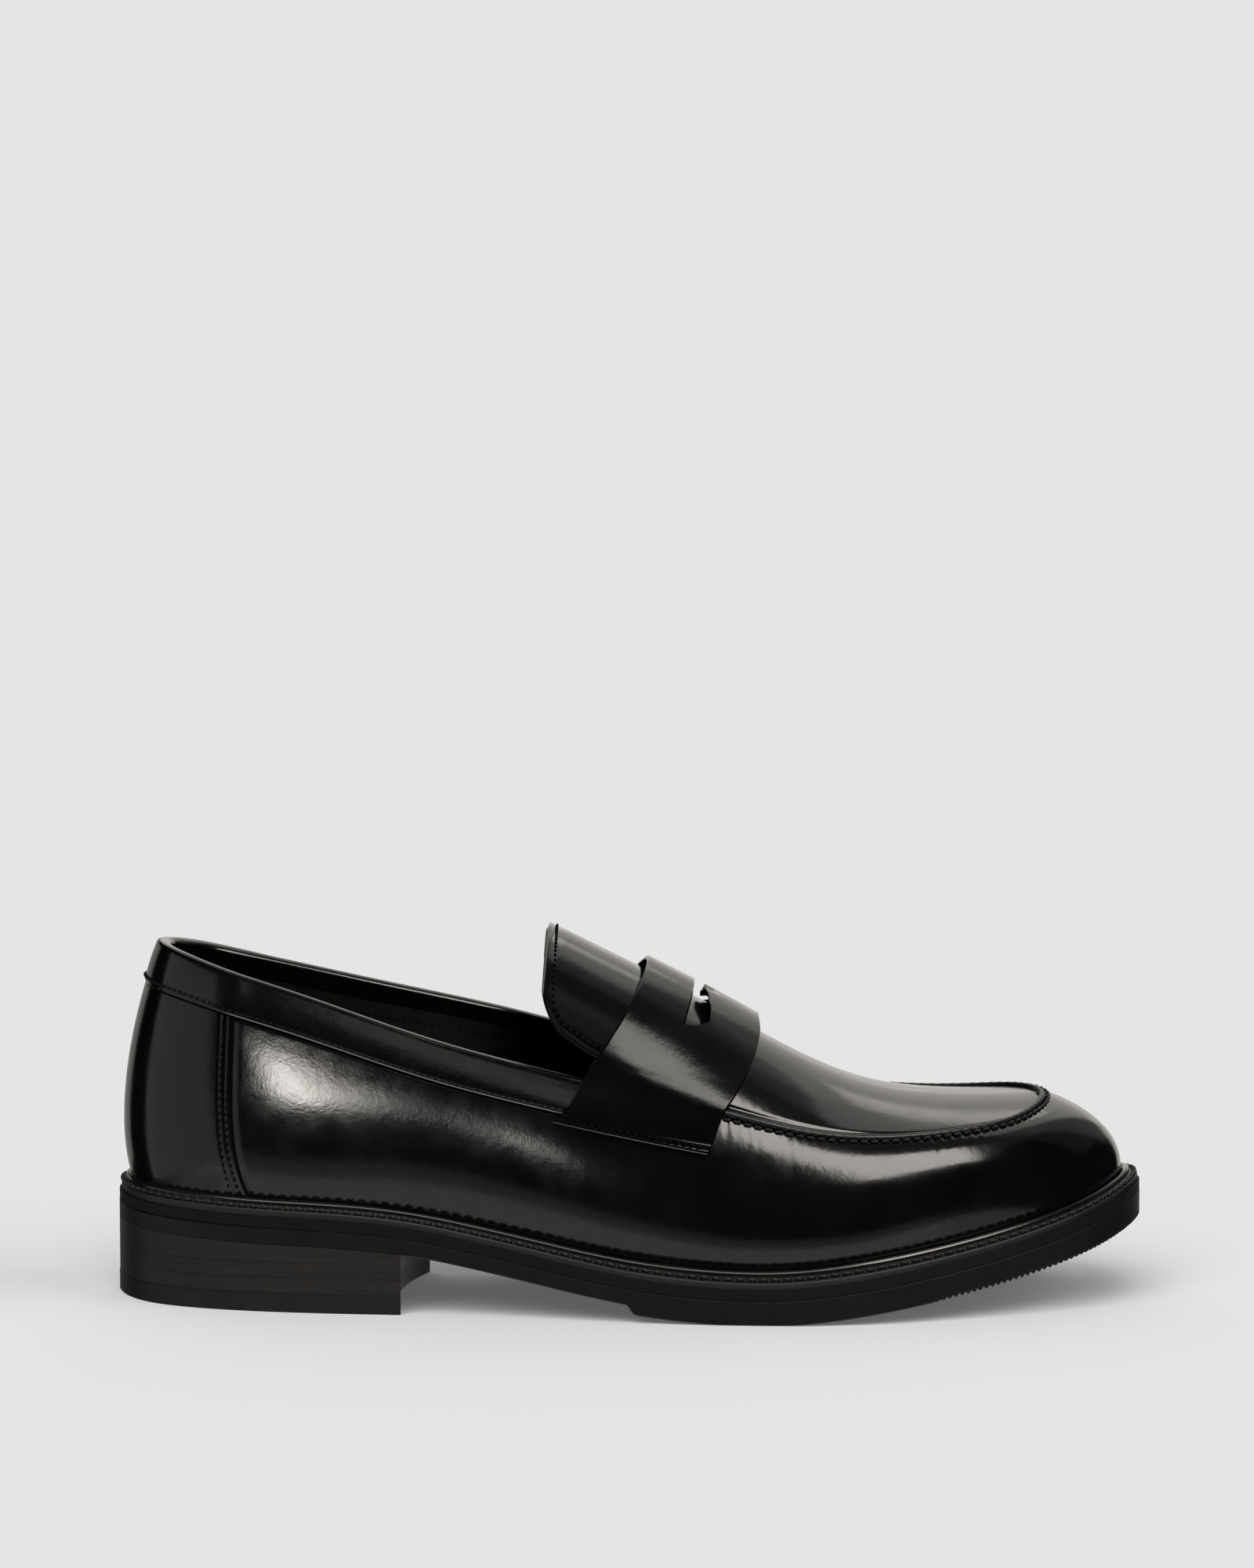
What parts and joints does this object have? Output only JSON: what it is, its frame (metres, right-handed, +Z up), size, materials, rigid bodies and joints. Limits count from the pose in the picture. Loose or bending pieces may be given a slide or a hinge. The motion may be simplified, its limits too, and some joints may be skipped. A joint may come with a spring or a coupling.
{
  "type": "penny loafer",
  "caption": "Right leather penny loafer with a moccasin apron, slotted saddle strap, hinged tongue, welted rubber sole and a stacked heel.",
  "frame": {"origin": "centre of the bounding box's footprint, on the floor", "axes": "+X from the heel to the toe, -Y to the outer side of the right foot, +Z up"},
  "size_m": [0.3004, 0.1072, 0.109],
  "materials": {
    "upper_leather": "high shine black box leather",
    "lining_leather": "matt black lining leather",
    "welt_leather": "waxed black",
    "midsole_foam": "matt microcellular rubber",
    "sole_rubber": "satin rubber",
    "heel_stack": "pressed leather board, black edge dressing",
    "cork": "granulated cork paste",
    "steel": "spring steel",
    "nail_steel": "brassed steel",
    "insole_board": "bonded leather board",
    "heel_foam": "open cell foam",
    "stiffener_board": "thermoplastic coated fleece"
  },
  "bodies": {
    "shoe": {"apron": "upper_leather", "apron_lining": "lining_leather", "apron_seam_roll": "upper_leather", "collar_band": "upper_leather", "cork_filler": "cork", "counter_cover": "upper_leather", "heel_lift_lower": "heel_stack", "heel_lift_middle": "heel_stack", "heel_lift_upper": "heel_stack", "heel_lining": "lining_leather", "heel_nails": "nail_steel", "heel_pad": "heel_foam", "heel_stiffener": "stiffener_board", "insole_board": "insole_board", "midsole": "midsole_foam", "outsole": "sole_rubber", "quarter_lining_lateral": "lining_leather", "quarter_lining_medial": "lining_leather", "saddle_strap": "upper_leather", "shank": "steel", "sock_lining": "lining_leather", "toe_puff": "stiffener_board", "top_lift": "sole_rubber", "vamp": "upper_leather", "vamp_lining": "lining_leather", "welt": "welt_leather"},
    "tongue": {"tongue": "upper_leather", "tongue_lining": "lining_leather"}
  },
  "joints": [
    {"name": "tongue_flex", "type": "hinge", "parent": "shoe", "child": "tongue", "pos_m": [0.00022, 0, 0.096], "axis": [0, 1, 0], "range_deg": [0, 20], "stiffness_Nm_per_rad": 0.03}
  ]
}
